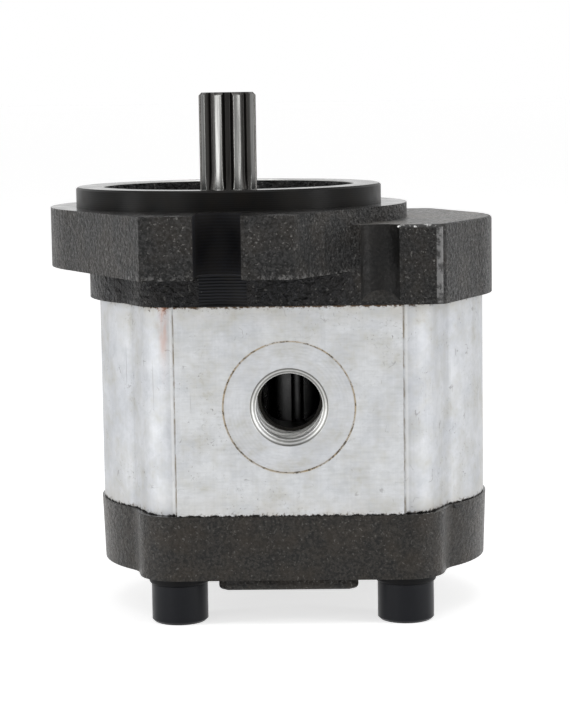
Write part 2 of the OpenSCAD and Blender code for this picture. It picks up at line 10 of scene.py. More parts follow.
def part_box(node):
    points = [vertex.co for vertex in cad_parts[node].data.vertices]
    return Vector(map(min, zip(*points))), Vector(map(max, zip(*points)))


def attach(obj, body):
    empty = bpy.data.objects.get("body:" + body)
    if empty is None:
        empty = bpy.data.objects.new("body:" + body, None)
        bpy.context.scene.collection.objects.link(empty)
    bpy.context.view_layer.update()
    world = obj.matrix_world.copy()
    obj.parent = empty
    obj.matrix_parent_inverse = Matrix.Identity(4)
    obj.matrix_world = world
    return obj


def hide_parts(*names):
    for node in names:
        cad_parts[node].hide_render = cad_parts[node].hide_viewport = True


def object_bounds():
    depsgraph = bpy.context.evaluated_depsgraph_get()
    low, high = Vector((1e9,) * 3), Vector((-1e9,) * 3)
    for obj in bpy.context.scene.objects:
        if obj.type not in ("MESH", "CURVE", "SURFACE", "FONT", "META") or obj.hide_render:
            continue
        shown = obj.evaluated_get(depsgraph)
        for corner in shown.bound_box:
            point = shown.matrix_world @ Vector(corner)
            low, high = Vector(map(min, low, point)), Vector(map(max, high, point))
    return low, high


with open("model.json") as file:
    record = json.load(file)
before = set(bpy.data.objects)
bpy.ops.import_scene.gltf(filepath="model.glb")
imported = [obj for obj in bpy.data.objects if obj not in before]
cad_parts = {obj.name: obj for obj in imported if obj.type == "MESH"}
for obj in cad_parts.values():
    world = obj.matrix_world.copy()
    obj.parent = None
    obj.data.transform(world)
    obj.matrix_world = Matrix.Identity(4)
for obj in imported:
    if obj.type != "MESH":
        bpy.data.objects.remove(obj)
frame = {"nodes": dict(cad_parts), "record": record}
cad_box = [list(corner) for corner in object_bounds()]

MM = 0.001

# Places that the castings and the body share, read from the frame
COVER_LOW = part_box("front_cover")[0]
BODY_LOW, BODY_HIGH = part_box("pump_body")
SHAFT_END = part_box("drive_gear_shaft")[1][2] / MM
MOUNTS = {mount["name"]: mount for mount in frame["record"]["mounts"]}
PORTS = [MOUNTS["outlet_port"], MOUNTS["inlet_port"]]
PILOT_R = MOUNTS["pilot"]["dims"]["r_mm"]
SPOTFACE_R = {"outlet_port": 17, "inlet_port": 19}
SPOTFACE_DEPTH = 0.3
PAD_SIDES = (-12.75, 45.75)
PAD_FOOT_Y = 39.9
MIDDLE_X = 16.5  # half way between the two gear axes
REAR_PAD_H = 3.3

# Places on the front cover in mm, as its solid has them
EAR_BACK_Z = -15.7
RECESS_R = 33.9
SLOT_HALF_W = 6.2
SLOT_INNER_Y = 44
SLOT_CENTRE_Y = 53.2
SLOT_SPOTFACE_R = 14.2
BOSS_TOP_Z = -4
BOSS_FACE_Y = 40.5
BOSS_FROM_X = 44
SCOOP_FROM_X, SCOOP_TO_X = 35, 46
SCOOP_FOOT_Z = -20
RIDGE_FROM_X, RIDGE_TO_X = 54.4, 56.3

# The spline's outline in mm and degrees, as the drive shaft's solid has it
SPLINE_TEETH = 9
SPLINE_TURN = 13
SPLINE_TIP_R = 7.73
SPLINE_ROOT_R = 6.0
SPLINE_PITCH_R = 7.145
SPLINE_PRESSURE = math.radians(30)
SPLINE_PLAY = 0.4  # how far each flank of a tooth stands back, in degrees

# Above this height the drive shaft is bright, below it the shaft and its gear are dark: painted shade
# inside the body
SHAFT_PAINTED_SHADE_BELOW_Z = -8


# ---------------------------------------------------------------- camera

LENS_MM = 112.7
FILM_MM = 36


def aim_camera():
    """Looks at the outlet port from a little above the joint of the front cover."""
    place = (0.03045, -0.60985, 0.0291)
    pan, pitch, roll = -0.026, 0.117, -0.015
    forward = Vector((math.sin(pan) * math.cos(pitch), math.cos(pan) * math.cos(pitch), -math.sin(pitch)))
    level = Vector((math.cos(pan), -math.sin(pan), 0))
    upright = level.cross(forward)
    right = math.cos(roll) * level + math.sin(roll) * upright
    top = math.cos(roll) * upright - math.sin(roll) * level
    data = bpy.data.cameras.new("view_camera")
    data.sensor_fit = "VERTICAL"
    data.sensor_height = FILM_MM
    data.lens = LENS_MM
    data.clip_start = 0.02
    camera = bpy.data.objects.new("view_camera", data)
    bpy.context.scene.collection.objects.link(camera)
    turn = Matrix((right, top, -forward)).transposed().to_4x4()
    camera.matrix_world = Matrix.Translation(place) @ turn
    bpy.context.scene.camera = camera


# ---------------------------------------------------------------- finishes

WAVE_SCALE = math.pi / 10  # a wave texture of this scale repeats once a unit
WORN_TO_X = 33  # the flange's rubbed lower edge ends here, before the boss


class Finish:
    """A node material with short calls for the patterns that the finishes share."""

    def __init__(self, name, **sockets):
        self.material = bpy.data.materials.new(name)
        self.material.use_nodes = True
        self.tree = self.material.node_tree
        self.shader = self.tree.nodes["Principled BSDF"]
        self.place = self.add("ShaderNodeTexCoord").outputs["Object"]
        for socket, value in sockets.items():
            self.shader.inputs[socket.replace("_", " ")].default_value = value

    def add(self, kind, **settings):
        node = self.tree.nodes.new(kind)
        for key, value in settings.items():
            setattr(node, key, value)
        return node

    def feed(self, socket, value):
        """Sets an input to a number or a colour, or links an output to it."""
        if isinstance(value, bpy.types.NodeSocket):
            self.tree.links.new(value, socket)
        else:
            socket.default_value = value

    def stretched(self, scale, centre=(0, 0, 0)):
        """Object coordinates with their own centre and their own scale along each axis."""
        node = self.add("ShaderNodeMapping")
        self.feed(node.inputs["Vector"], self.place)
        node.inputs["Scale"].default_value = scale
        node.inputs["Location"].default_value = [-c * s for c, s in zip(centre, scale)]
        return node.outputs["Vector"]

    def noise(self, size_mm, detail=3, rough=0.55, place=None, wander=0):
        """Noise whose features are about size_mm wide."""
        node = self.add("ShaderNodeTexNoise")
        self.feed(node.inputs["Vector"], place or self.place)
        node.inputs["Scale"].default_value = 1000 / size_mm
        node.inputs["Detail"].default_value = detail
        node.inputs["Roughness"].default_value = rough
        node.inputs["Distortion"].default_value = wander
        return node.outputs["Fac"]

    def patches(self, size_mm, start, full, share=1.0, detail=3, rough=0.65, place=None):
        """Separate patches of a mark: 0 where the noise is below start, and share where above full."""
        return self.ramp(self.noise(size_mm, detail, rough, place), [(start, 0.0), (full, share)])

    def lines(self, direction, pitch_mm, place=None, wander=0, kind="BANDS"):
        """Parallel lines, or rings round an axis, one every pitch_mm."""
        node = self.add("ShaderNodeTexWave", wave_type=kind, wave_profile="SIN")
        if kind == "BANDS":
            node.bands_direction = direction
        else:
            node.rings_direction = direction
        self.feed(node.inputs["Vector"], place or self.place)
        lines_per_metre = 1000 / pitch_mm
        node.inputs["Scale"].default_value = lines_per_metre * WAVE_SCALE
        node.inputs["Distortion"].default_value = wander
        node.inputs["Detail"].default_value = 1
        return node.outputs["Fac"]

    def ramp(self, value, stops, smooth=False):
        node = self.add("ShaderNodeValToRGB")
        self.feed(node.inputs["Fac"], value)
        if smooth:
            node.color_ramp.interpolation = "EASE"
        marks = node.color_ramp.elements
        while len(marks) < len(stops):
            marks.new(0.5)
        for mark, (where, tone) in zip(marks, stops):
            mark.position = where
            mark.color = (*tone, 1) if isinstance(tone, tuple) else (tone, tone, tone, 1)
        return node.outputs["Color"]

    def calc(self, operation, a, b=0):
        node = self.add("ShaderNodeMath", operation=operation)
        self.feed(node.inputs[0], a)
        self.feed(node.inputs[1], b)
        return node.outputs["Value"]

    def times(self, first, *others):
        """Product, such as of the shares of a mark's shape and of how much of it is left."""
        for other in others:
            first = self.calc("MULTIPLY", first, other)
        return first

    def blend(self, share, a, b, how="MIX"):
        node = self.add("ShaderNodeMix", data_type="RGBA", blend_type=how)
        self.feed(node.inputs["Factor"], share)
        self.feed(node.inputs["A"], a if isinstance(a, bpy.types.NodeSocket) else (*a, 1))
        self.feed(node.inputs["B"], b if isinstance(b, bpy.types.NodeSocket) else (*b, 1))
        return node.outputs["Result"]

    def height(self, value, depth_mm, over=None):
        """Bump of depth_mm on top of another bump."""
        node = self.add("ShaderNodeBump")
        node.inputs["Strength"].default_value = 1
        node.inputs["Distance"].default_value = depth_mm * MM
        self.feed(node.inputs["Height"], value)
        if over is not None:
            self.feed(node.inputs["Normal"], over)
        return node.outputs["Normal"]

    def away_from(self, centre_mm, along="Z"):
        """Distance in mm from the line through a point along one axis."""
        scale = [0 if letter == along else 1000 for letter in "XYZ"]
        centre = [c * MM for c in centre_mm]
        node = self.add("ShaderNodeVectorMath", operation="LENGTH")
        self.feed(node.inputs[0], self.stretched(scale, centre))
        return node.outputs["Value"]

    def mask(self, value, low, high):
        """0 below low, 1 above high, or the other way round when low is the larger one."""
        node = self.add("ShaderNodeMapRange")
        self.feed(node.inputs["Value"], value)
        node.inputs["From Min"].default_value = low
        node.inputs["From Max"].default_value = high
        return node.outputs["Result"]

    def ring(self, distance, radius, half_width):
        """1 on a ring of this radius, fading to 0 at half_width to either side."""
        off = self.calc("ABSOLUTE", self.calc("SUBTRACT", distance, radius))
        return self.mask(off, half_width, half_width * 0.35)

    def along(self, letter):
        node = self.add("ShaderNodeSeparateXYZ")
        self.feed(node.inputs["Vector"], self.place)
        return node.outputs[letter]

    def flecks(self, spread_mm, size, share, seed=0):
        """Small scattered spots: one in each cell of spread_mm, on share of all cells."""
        node = self.add("ShaderNodeTexVoronoi")
        self.feed(node.inputs["Vector"], self.stretched((1, 1, 1), centre=(seed, 0, 0)))
        node.inputs["Scale"].default_value = 1000 / spread_mm
        near = self.mask(node.outputs["Distance"], size, size * 0.5)
        split = self.add("ShaderNodeSeparateColor")
        self.feed(split.inputs["Color"], node.outputs["Color"])
        chosen = self.mask(split.outputs["Red"], share, share - 0.02)
        return self.times(near, chosen)

    def done(self, **sockets):
        for socket, value in sockets.items():
            self.feed(self.shader.inputs[socket.replace("_", " ")], value)
        return self.material


def cast_skin(name, grain_mm, relief_mm, dark, light, roughness, bright=0.3, worn_band=None, spec=0.2):
    """Sand-cast iron under a thin dark coat: grain, bright specks that are painted glints, and rubbed
    places.
    """
    skin = Finish(name, Specular_IOR_Level=spec, Metallic=0)
    fine = skin.noise(grain_mm, 3, 0.66)
    coarse = skin.noise(grain_mm * 2.1, 2, 0.5)
    cloud = skin.noise(8, 3, 0.6)
    middle = tuple(0.62 * d + 0.38 * l for d, l in zip(dark, light))
    tone = skin.ramp(fine, [(0.4, dark), (0.51, middle), (0.63, light)])
    warm = tuple(c * k for c, k in zip(light, (1.15, 0.98, 0.8)))
    colour = skin.blend(skin.ramp(cloud, [(0.42, 0.0), (0.66, 0.4)]), tone, warm)
    # the bright specks are painted glints on the grain, thinned out under the cloud; bright sets their
    # share
    specks = skin.patches(grain_mm * 0.95, 0.62, 0.7, detail=2, rough=0.5)
    painted_glints = skin.times(specks, skin.ramp(cloud, [(0.3, bright * 0.4), (0.6, bright)]))
    colour = skin.blend(painted_glints, colour, (0.3, 0.29, 0.275))
    if worn_band is not None:
        colour = skin.blend(rubbed_band(skin, *worn_band), colour, (0.24, 0.235, 0.23))
    bumps = skin.height(fine, relief_mm, skin.height(coarse, relief_mm * 1.6))
    sheen = skin.ramp(fine, [(0.3, roughness + 0.14), (0.7, roughness - 0.1)])
    return skin.done(Base_Color=colour, Roughness=sheen, Normal=bumps)


def rubbed_band(skin, edge, reach):
    """Share of bare iron in a band that rises by reach from a lower edge of the flange, in mm."""
    height = skin.along("Z")
    low = skin.mask(height, (edge + reach) * MM, edge * MM)
    low = skin.times(low, skin.mask(height, (edge - 0.9) * MM, (edge - 0.7) * MM))
    low = skin.times(low, skin.mask(skin.along("X"), (WORN_TO_X + 1) * MM, (WORN_TO_X - 1) * MM))
    rubbed = skin.patches(1.5, 0.5, 0.6, share=0.75, detail=4, rough=0.7)
    rubbed = skin.times(rubbed, skin.patches(11, 0.45, 0.58, detail=1, rough=0.55))
    return skin.times(low, rubbed)


def rubbed_edge_and_highlight(name, tone=(0.11, 0.107, 0.1), share=0.52, bare=0.0):
    """The edge of a casting, where handling has worn its coat down to grey iron; on the boss's upright
    ridge the lighter band is a painted highlight.
    """
    edge = Finish(name, Specular_IOR_Level=0.5)
    rub = edge.patches(2.6, share, share + 0.1, detail=4, rough=0.7)
    colour = edge.blend(rub, (0.013, 0.0125, 0.012), tone)
    bumps = edge.height(edge.noise(0.7, 3, 0.6), 0.35)
    metal = edge.times(rub, bare)
    return edge.done(Base_Color=colour, Metallic=metal, Roughness=0.36, Normal=bumps)


def cut_iron(name, pattern, dark, light, roughness, relief_mm, spec=0.22, tint=(0.022, 0.019, 0.016)):
    """Iron that was turned or milled after casting, with its tool marks."""
    metal = Finish(name, Specular_IOR_Level=spec, Metallic=0)
    marks = pattern(metal)
    cloud = metal.noise(6, 3, 0.6)
    tone = metal.ramp(marks, [(0.2, dark), (0.8, light)])
    colour = metal.blend(metal.ramp(cloud, [(0.4, 0.0), (0.75, 0.5)]), tone, tint)
    dust = metal.flecks(2.6, 0.07, 0.35, seed=0.4)
    colour = metal.blend(metal.times(dust, 0.5), colour, (0.2, 0.2, 0.2))
    bumps = metal.height(marks, relief_mm, metal.height(metal.noise(0.9, 2), 0.006))
    sheen = metal.ramp(cloud, [(0.35, roughness), (0.7, roughness + 0.1)])
    return metal.done(Base_Color=colour, Roughness=sheen, Normal=bumps)


def aluminium(name, pattern, relief_mm, tone, roughness, stains=0.75, outside=False, port_marks_and_painted_light=False):
    """Aluminium with tool or die lines, faint stains, scratches and, outside, grime at the joints and
    painted glints by the pads; at the ports, dirt and painted light and shade in the mouths.
    """
    metal = Finish(name, Metallic=1)
    marks = pattern(metal)
    cloud = metal.noise(14, 4, 0.6)
    mottle = metal.noise(2.4, 4, 0.72, wander=0.4)
    dark = tuple(c * k for c, k in zip(tone, (0.93, 0.935, 0.95)))
    colour = metal.ramp(cloud, [(0.34, dark), (0.6, tone)], smooth=True)
    film = metal.patches(8, 0.44, 0.68, share=stains)
    film = metal.times(film, metal.ramp(mottle, [(0.4, 0.25), (0.6, 1.0)]))
    colour = metal.blend(film, colour, tuple(c * k for c, k in zip(tone, (0.72, 0.69, 0.61))))
    colour = metal.blend(0.6, colour, metal.ramp(mottle, [(0.36, 0.86), (0.56, 1.0)]), how="MULTIPLY")
    if port_marks_and_painted_light:
        strokes = metal.noise(0.6, 3, 0.7, metal.stretched((0.12, 1, 1)))
        shade = metal.ramp(strokes, [(0.36, 0.8), (0.56, 1.0)])
        colour = metal.blend(0.35, colour, shade, how="MULTIPLY")
    if outside:
        die_lines = metal.noise(0.5, 3, 0.7, metal.stretched((1, 1, 0.012)))
        shade = metal.ramp(die_lines, [(0.3, 0.78), (0.62, 1.0)])
        colour = metal.blend(0.2, colour, shade, how="MULTIPLY")
        colour = metal.blend(fine_scratches(metal), colour, (0.16, 0.15, 0.14))
        colour = joint_grime_and_glints(metal, colour)
    if port_marks_and_painted_light:
        colour = port_grime_and_painted_light(metal, colour)
    bumps = metal.height(marks, relief_mm, metal.height(metal.noise(1.1, 4, 0.65), 0.02))
    sheen = metal.ramp(cloud, [(0.3, roughness + 0.08), (0.7, roughness - 0.05)])
    return metal.done(Base_Color=colour, Roughness=sheen, Normal=bumps)


def fine_scratches(metal):
    """Share of dirt in short hair scratches, in clusters of specks and in a few long upright ones."""
    field = metal.noise(5, 2, 0.5, wander=0.3)
    hair = metal.mask(metal.calc("ABSOLUTE", metal.calc("SUBTRACT", field, 0.5)), 0.012, 0.004)
    hair = metal.times(hair, metal.patches(3.4, 0.6, 0.66, share=0.4, detail=2, rough=0.5))
    specks = metal.times(metal.patches(0.7, 0.6, 0.7, share=0.7), metal.patches(11, 0.5, 0.64, rough=0.6))
    drawn_out = metal.stretched((1, 1, 0.03))
    upright = metal.patches(0.9, 0.7, 0.76, share=0.35, detail=2, rough=0.5, place=drawn_out)
    return metal.calc("MAXIMUM", metal.calc("MAXIMUM", hair, specks), upright)


def joint_grime_and_glints(metal, colour):
    """Oil and dirt where the body meets both covers, and beside the port pads a tan line and a painted
    glint.
    """
    from_top = metal.times(metal.calc("SUBTRACT", BODY_HIGH[2], metal.along("Z")), 1000)
    from_bottom = metal.times(metal.calc("SUBTRACT", metal.along("Z"), BODY_LOW[2]), 1000)
    nearest = metal.calc("MINIMUM", from_top, from_bottom)
    blotches = metal.ramp(metal.noise(7, 3, 0.65), [(0.42, 0.05), (0.66, 0.6)])
    haze = metal.times(metal.mask(nearest, 6, 0), blotches)
    colour = metal.blend(haze, colour, (0.38, 0.36, 0.32))
    spots = metal.calc("ADD", metal.noise(0.9, 3, 0.65), metal.mask(nearest, 5, -1.5))
    spots = metal.times(metal.mask(spots, 1.2, 1.32), metal.mask(nearest, 4.2, 3))
    colour = metal.blend(metal.times(spots, 0.8), colour, (0.07, 0.05, 0.035))
    colour = rust_trail(metal, colour, from_top)
    colour = pad_step_lines(metal, colour)
    seam = metal.ramp(metal.noise(1.3, 3, 0.7), [(0.38, 0.5), (0.62, 0.0)])
    brown = metal.mask(metal.calc("ADD", from_top, seam), 0.62, 0.38)
    colour = metal.blend(brown, colour, (0.075, 0.045, 0.024))
    black = metal.mask(metal.calc("ADD", from_bottom, seam), 0.66, 0.4)
    return metal.blend(black, colour, (0.012, 0.011, 0.01))


def rust_trail(metal, colour, from_top):
    """A faint rust stain that runs down from the upper joint beside the outlet's pad."""
    stain_top = ((PAD_SIDES[0] - 2.8) * MM, -0.037, BODY_HIGH[2])
    trail = metal.add("ShaderNodeVectorMath", operation="LENGTH")
    metal.feed(trail.inputs[0], metal.stretched((900, 130, 75), stain_top))
    from_trail = trail.outputs["Value"]
    runs = metal.noise(1.6, 3, 0.6, metal.stretched((1, 1, 0.25)))
    rust = metal.times(metal.mask(from_trail, 1.7, 0.5), metal.ramp(runs, [(0.4, 0.12), (0.65, 0.66)]))
    colour = metal.blend(rust, colour, (0.46, 0.31, 0.26))
    scab = metal.times(metal.mask(from_trail, 1.9, 0.6), metal.mask(from_top, 3, 0.6))
    scab = metal.times(scab, metal.patches(0.9, 0.46, 0.58, share=0.8))
    return metal.blend(scab, colour, (0.2, 0.09, 0.05))


def pad_step_lines(metal, colour):
    """A painted glint along each side of the port pads, with a broken tan line in the foot of its step.
    """
    across = metal.times(metal.along("X"), 1000)
    from_middle = metal.times(metal.calc("ABSOLUTE", metal.along("Y")), 1000)
    broken = metal.patches(1.2, 0.4, 0.6, share=0.8, rough=0.7, place=metal.stretched((1, 1, 0.3)))
    at_foot = metal.times(metal.mask(from_middle, PAD_FOOT_Y, PAD_FOOT_Y - 0.6), broken)
    for side in PAD_SIDES:
        outward = math.copysign(1, side - MIDDLE_X)
        # a lighter line beside each pad's edge: a painted highlight
        glint = metal.times(metal.ring(across, side + 0.9 * outward, 0.55), 0.4)
        colour = metal.blend(glint, colour, (0.74, 0.74, 0.73))
        dirt = metal.times(metal.ring(across, side + 0.2 * outward, 0.5), at_foot)
        colour = metal.blend(dirt, colour, (0.22, 0.185, 0.13))
    return colour


def port_grime_and_painted_light(metal, colour):
    """Dirt in the edge of each spotface, worn through here and there, and painted light and shade in
    rings round its mouth.
    """
    for port in PORTS:
        centre = [c / MM for c in port["pos_m"]]
        distance = metal.away_from(centre, along="Y")
        side = metal.mask(metal.times(metal.along("Y"), math.copysign(1, centre[1])), 0, 0.001)
        ring = metal.ring(distance, SPOTFACE_R[port["name"]], 0.32)
        tan = metal.ramp(metal.noise(6, 3, 0.7), [(0.36, 0.35), (0.6, 0.8)])
        colour = metal.blend(metal.times(ring, tan, side), colour, (0.3, 0.22, 0.11))
        # painted highlights and painted shade: lighter and darker rings multiplied into the mouth's
        # chamfer and wall
        mouth = metal.ramp(metal.mask(distance, 8, 10.2), [
            (0.0, (1.2, 1.2, 1.2)), (0.33, (1.3, 1.3, 1.3)),
            (0.42, (0.42, 0.42, 0.41)), (0.55, (0.5, 0.5, 0.49)),
            (0.62, (1.15, 1.15, 1.15)), (0.72, (1.1, 1.1, 1.1)),
            (0.79, (0.42, 0.42, 0.41)), (0.93, (0.3, 0.3, 0.29)), (0.985, (1.0, 1.0, 1.0))])
        colour = metal.blend(side, colour, mouth, how="MULTIPLY")
        crumbs = metal.patches(1.6, 0.5, 0.6, share=0.9, rough=0.7)
        colour = metal.blend(metal.times(ring, crumbs, side), colour, (0.05, 0.04, 0.03))
    return colour


def steel(name, tone, roughness, pattern=None, relief_mm=0.004, spec=0.5, metallic=1.0):
    metal = Finish(name, Metallic=metallic, Specular_IOR_Level=spec)
    cloud = metal.noise(3, 3, 0.6)
    dark = tuple(c * 0.75 for c in tone)
    base = metal.ramp(cloud, [(0.3, dark), (0.65, tone)])
    bumps = metal.height(metal.noise(0.5, 2), 0.003)
    if pattern:
        bumps = metal.height(pattern(metal), relief_mm, bumps)
    sheen = metal.ramp(cloud, [(0.3, roughness + 0.06), (0.7, roughness - 0.04)])
    return metal.done(Base_Color=base, Roughness=sheen, Normal=bumps)


def splined_steel_painted_shade(name):
    """Shaft steel, bright on the ground tooth tips and darker down the flanks into the tooth spaces,
    which is painted shade.
    """
    metal = Finish(name, Metallic=1)
    depth = metal.away_from((0, 0, 0), along="Z")
    streaks = metal.noise(0.5, 3, 0.65, metal.stretched((1, 1, 0.02)))
    # the tone darkens from tip to root: painted shade in the tooth spaces
    tone = metal.ramp(metal.mask(depth, SPLINE_ROOT_R, SPLINE_TIP_R), [
        (0.0, (0.026, 0.025, 0.024)), (0.5, (0.036, 0.034, 0.032)), (0.9, (0.07, 0.068, 0.065)),
        (0.985, (0.2, 0.2, 0.194))])
    colour = metal.blend(metal.ramp(streaks, [(0.35, 0.5), (0.6, 0.0)]), tone, (0.02, 0.02, 0.019))
    bumps = metal.height(streaks, 0.01)
    sheen = metal.ramp(streaks, [(0.3, 0.3), (0.7, 0.2)])
    return metal.done(Base_Color=colour, Roughness=sheen, Normal=bumps)


def soft_part(name, tone, roughness):
    """Moulded rubber or plastic."""
    part = Finish(name, Metallic=0)
    cloud = part.noise(1.2, 3, 0.6)
    colour = part.ramp(cloud, [(0.3, tuple(c * 0.7 for c in tone)), (0.7, tone)])
    sheen = part.ramp(cloud, [(0.3, roughness + 0.08), (0.7, roughness)])
    return part.done(Base_Color=colour, Roughness=sheen, Normal=part.height(cloud, 0.01))


def turned_about_shaft(finish):
    return finish.lines("Z", 0.6, kind="RINGS")


def turned_along_shaft(finish):
    return finish.lines("Z", 0.55, wander=0.4)


def milled_across(finish):
    return finish.lines("Z", 0.8, wander=0.6)


def drawn_along_shaft(finish):
    return finish.noise(0.9, 3, 0.6, finish.stretched((1, 1, 0.02)))


def turned_about_port(finish):
    port = PORTS[0]["pos_m"]
    return finish.lines("Y", 0.9, finish.stretched((1, 1, 1), centre=(port[0], 0, port[2])), kind="RINGS")


def turned_along_port(finish):
    return finish.lines("Y", 0.7)


FINISHES = {
    "cast": cast_skin(
        "cast_skin", grain_mm=0.75, relief_mm=0.6, dark=(0.001, 0.001, 0.001),
        light=(0.04, 0.0395, 0.039), roughness=0.38, bright=0.5, worn_band=(EAR_BACK_Z, 1.5)),
    # a lighter copy of the cast skin for upward faces: painted light where the tops catch the light
    "cast_top_painted_light": cast_skin(
        "cast_top_skin", grain_mm=0.85, relief_mm=0.5, dark=(0.002, 0.002, 0.002),
        light=(0.16, 0.16, 0.158), roughness=0.34, bright=0.8, spec=0.32),
    # the scoop's darker skin is painted shade in the hollow; the foot's lighter skin is painted light on
    # its upward faces
    "scoop": cast_skin(
        "scoop_painted_shade_skin", grain_mm=0.8, relief_mm=0.15, dark=(0.004, 0.004, 0.004),
        light=(0.012, 0.0115, 0.011), roughness=0.42, bright=0.06),
    "scoop_foot": cast_skin(
        "scoop_foot_painted_light_skin", grain_mm=0.9, relief_mm=0.2, dark=(0.012, 0.012, 0.0115),
        light=(0.05, 0.048, 0.045), roughness=0.36, bright=0.15),
    "cast_rear": cast_skin(
        "rear_cast_skin", grain_mm=0.75, relief_mm=0.22, dark=(0.005, 0.0048, 0.0044),
        light=(0.04, 0.0365, 0.032), roughness=0.34, bright=0.3, spec=0.24),
    "coarse_cast": cast_skin(
        "coarse_cast_skin", grain_mm=0.95, relief_mm=1.2, dark=(0.0005, 0.0005, 0.0005),
        light=(0.024, 0.0245, 0.027), roughness=0.34, bright=0.35, spec=0.22),
    "worn_edge": rubbed_edge_and_highlight("rubbed_casting_edge"),
    "boss_edge": rubbed_edge_and_highlight("rubbed_boss_edge", tone=(0.85, 0.85, 0.84), share=0.52, bare=1.0),
    # a lighter band down the boss's rounded upright edge: a painted highlight
    "boss_ridge": rubbed_edge_and_highlight("boss_ridge_painted_highlight", tone=(0.15, 0.149, 0.148), share=0.39, bare=0.4),
    "bright_rim": steel("bright_turned_rim", tone=(0.5, 0.5, 0.49), roughness=0.3),
    "turned_face": cut_iron(
        "turned_flange_face", turned_about_shaft, dark=(0.006, 0.006, 0.006),
        light=(0.014, 0.014, 0.014), roughness=0.14, relief_mm=0.002, spec=0.4),
    "turned_pilot": cut_iron(
        "turned_pilot_edge", turned_along_shaft, dark=(0.002, 0.002, 0.002),
        light=(0.006, 0.006, 0.006), roughness=0.3, relief_mm=0.004, spec=0.09,
        tint=(0.012, 0.009, 0.006)),
    "milled": cut_iron(
        "milled_slot", milled_across, dark=(0.003, 0.003, 0.004), light=(0.008, 0.0085, 0.0115),
        roughness=0.58, relief_mm=0.012, spec=0.14),
    "milled_foot": cut_iron(
        "milled_foot", milled_across, dark=(0.0005, 0.0005, 0.001), light=(0.016, 0.017, 0.021),
        roughness=0.4, relief_mm=0.08, spec=0.14),
    "extruded": aluminium(
        "extruded_aluminium", drawn_along_shaft, relief_mm=0.03, tone=(0.53, 0.54, 0.555),
        roughness=0.6, outside=True),
    "milled_pad": aluminium(
        "milled_pad_aluminium", drawn_along_shaft, relief_mm=0.01, tone=(0.55, 0.56, 0.57),
        roughness=0.5, outside=True, port_marks_and_painted_light=True),
    "faced": aluminium(
        "faced_aluminium", turned_about_port, relief_mm=0.012, tone=(0.52, 0.53, 0.545), roughness=0.42,
        port_marks_and_painted_light=True),
    # lighter than the other aluminium: painted light on the port's bore wall
    "bored": aluminium(
        "bored_aluminium_painted_light", turned_along_port, relief_mm=0.02, tone=(0.7, 0.7, 0.69), roughness=0.5,
        stains=0.2, port_marks_and_painted_light=True),
    # near-black aluminium deep in the ports and round the gears: painted shade
    "deep_bore": aluminium(
        "deep_bore_painted_shade_aluminium", turned_along_port, relief_mm=0.006, tone=(0.04, 0.038, 0.034),
        roughness=0.4, stains=0.0),
    "chamber": aluminium(
        "chamber_painted_shade_aluminium", turned_along_shaft, relief_mm=0.004, tone=(0.05, 0.05, 0.05),
        roughness=0.35, stains=0.0),
    "scribed": aluminium(
        "scribed_ring_aluminium", turned_about_port, relief_mm=0.01, tone=(0.5, 0.46, 0.38),
        roughness=0.3, stains=0.9),
    "shaft": steel(
        "ground_shaft_steel", tone=(0.2, 0.2, 0.195), roughness=0.17, pattern=drawn_along_shaft,
        relief_mm=0.006),
    "spline": splined_steel_painted_shade("splined_shaft_steel_painted_shade"),
    # steel darkened for the gears and the shaft inside the body: painted shade
    "gear": steel(
        "gear_steel", tone=(0.055, 0.055, 0.055), roughness=0.3, pattern=drawn_along_shaft,
        relief_mm=0.003),
    "screw": steel(
        "black_oxide_steel", tone=(0.004, 0.0048, 0.0075), roughness=0.32, pattern=turned_along_shaft,
        relief_mm=0.002, spec=0.18, metallic=0.0),
    "washer": steel(
        "black_washer_steel", tone=(0.0025, 0.0025, 0.003), roughness=0.42, spec=0.12, metallic=0.0),
    "plated": steel("plated_steel", tone=(0.45, 0.45, 0.43), roughness=0.35),
    "spring": steel("spring_steel", tone=(0.12, 0.12, 0.13), roughness=0.35),
    "bronze": steel("bush_bronze", tone=(0.6, 0.42, 0.22), roughness=0.35),
    "block": aluminium(
        "block_aluminium", turned_about_shaft, relief_mm=0.004, tone=(0.6, 0.61, 0.62), roughness=0.36),
    "rubber": soft_part("seal_rubber", tone=(0.03, 0.03, 0.03), roughness=0.55),
    "strip": soft_part("backup_strip_plastic", tone=(0.75, 0.74, 0.7), roughness=0.45),
}


# ---------------------------------------------------------------- pieces

def from_node(node, finishes=(), pick=None):
    """A clean copy of a CAD node's mesh: joined corners and whole flat faces.

    pick gives each triangle one of the named finishes by its centre in mm and its normal."""
    shape = bmesh.new()
    shape.from_mesh(frame["nodes"][node].data)
    bmesh.ops.remove_doubles(shape, verts=shape.verts, dist=1e-6)
    for face in shape.faces:
        name = pick(face.calc_center_median() / MM, face.normal) if pick else None
        face.material_index = finishes.index(name) if name else 0
    bmesh.ops.dissolve_limit(
        shape, angle_limit=math.radians(0.5), verts=shape.verts, edges=shape.edges, delimit={"MATERIAL"})
    return shape


def round_edges(shape, width_mm, least_deg, chosen=None, segments=2, finish=-1, clamp=True):
    """Bevels the edges that turn by at least least_deg and that chosen accepts."""
    picked = []
    for edge in shape.edges:
        if len(edge.link_faces) == 2 and edge.calc_face_angle() > math.radians(least_deg):
            middle = (edge.verts[0].co + edge.verts[1].co) / 2
            if chosen is None or chosen(middle / MM):
                picked.append(edge)
    bmesh.ops.bevel(
        shape, geom=picked, offset=width_mm * MM, offset_type="OFFSET", segments=segments, profile=0.5,
        affect="EDGES", clamp_overlap=clamp, loop_slide=True, material=finish)


def smooth_shading(shape, split_deg=32):
    for face in shape.faces:
        face.smooth = True
    for edge in shape.edges:
        flat = len(edge.link_faces) != 2 or edge.calc_face_angle() > math.radians(split_deg)
        edge.smooth = not flat


